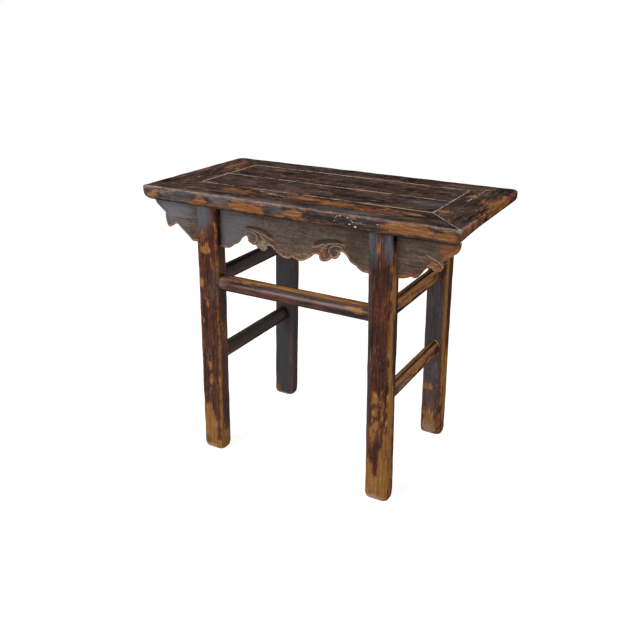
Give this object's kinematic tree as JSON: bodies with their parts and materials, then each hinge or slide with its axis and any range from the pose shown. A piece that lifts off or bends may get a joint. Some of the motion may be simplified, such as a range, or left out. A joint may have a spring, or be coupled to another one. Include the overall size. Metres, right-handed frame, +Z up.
{
  "type": "altar table",
  "caption": "Recessed-leg altar table in worn dark lacquer: a framed panel top over a front apron carved in cloud scrolls with wing ends, splayed legs and oval stretchers.",
  "frame": {"origin": "on the floor under the middle of the top", "axes": "+X along the table to its right as seen from the front, +Y from the carved front to the back, +Z up"},
  "size_m": [0.938, 0.486, 0.805],
  "materials": {
    "top_lacquer": "near-black brown lacquer, rubbed to orange wood along the edges",
    "leg_lacquer": "dark reddish-brown lacquer, worn through to ochre wood at the feet and corners",
    "stretcher_lacquer": "red-brown lacquer with a soft shine, rubbed to orange on top",
    "apron_lacquer": "faded grey-brown lacquer, pinkish-tan along the carved edge",
    "bare_wood": "unfinished softwood, darkened with age"
  },
  "bodies": {
    "root": {"front_long_rail": "top_lacquer", "rear_long_rail": "top_lacquer", "left_end_rail": "top_lacquer", "right_end_rail": "top_lacquer", "front_panel_board": "top_lacquer", "rear_panel_board": "top_lacquer", "left_batten": "bare_wood", "right_batten": "bare_wood", "panel_pins": "bare_wood", "frame_wedges": "bare_wood", "stretcher_wedges": "bare_wood", "front_apron": "apron_lacquer", "rear_apron": "apron_lacquer", "front_left_leg": "leg_lacquer", "front_right_leg": "leg_lacquer", "rear_left_leg": "leg_lacquer", "rear_right_leg": "leg_lacquer", "front_stretcher": "stretcher_lacquer", "left_upper_stretcher": "stretcher_lacquer", "left_lower_stretcher": "stretcher_lacquer", "right_upper_stretcher": "stretcher_lacquer", "right_lower_stretcher": "stretcher_lacquer"}
  },
  "joints": []
}
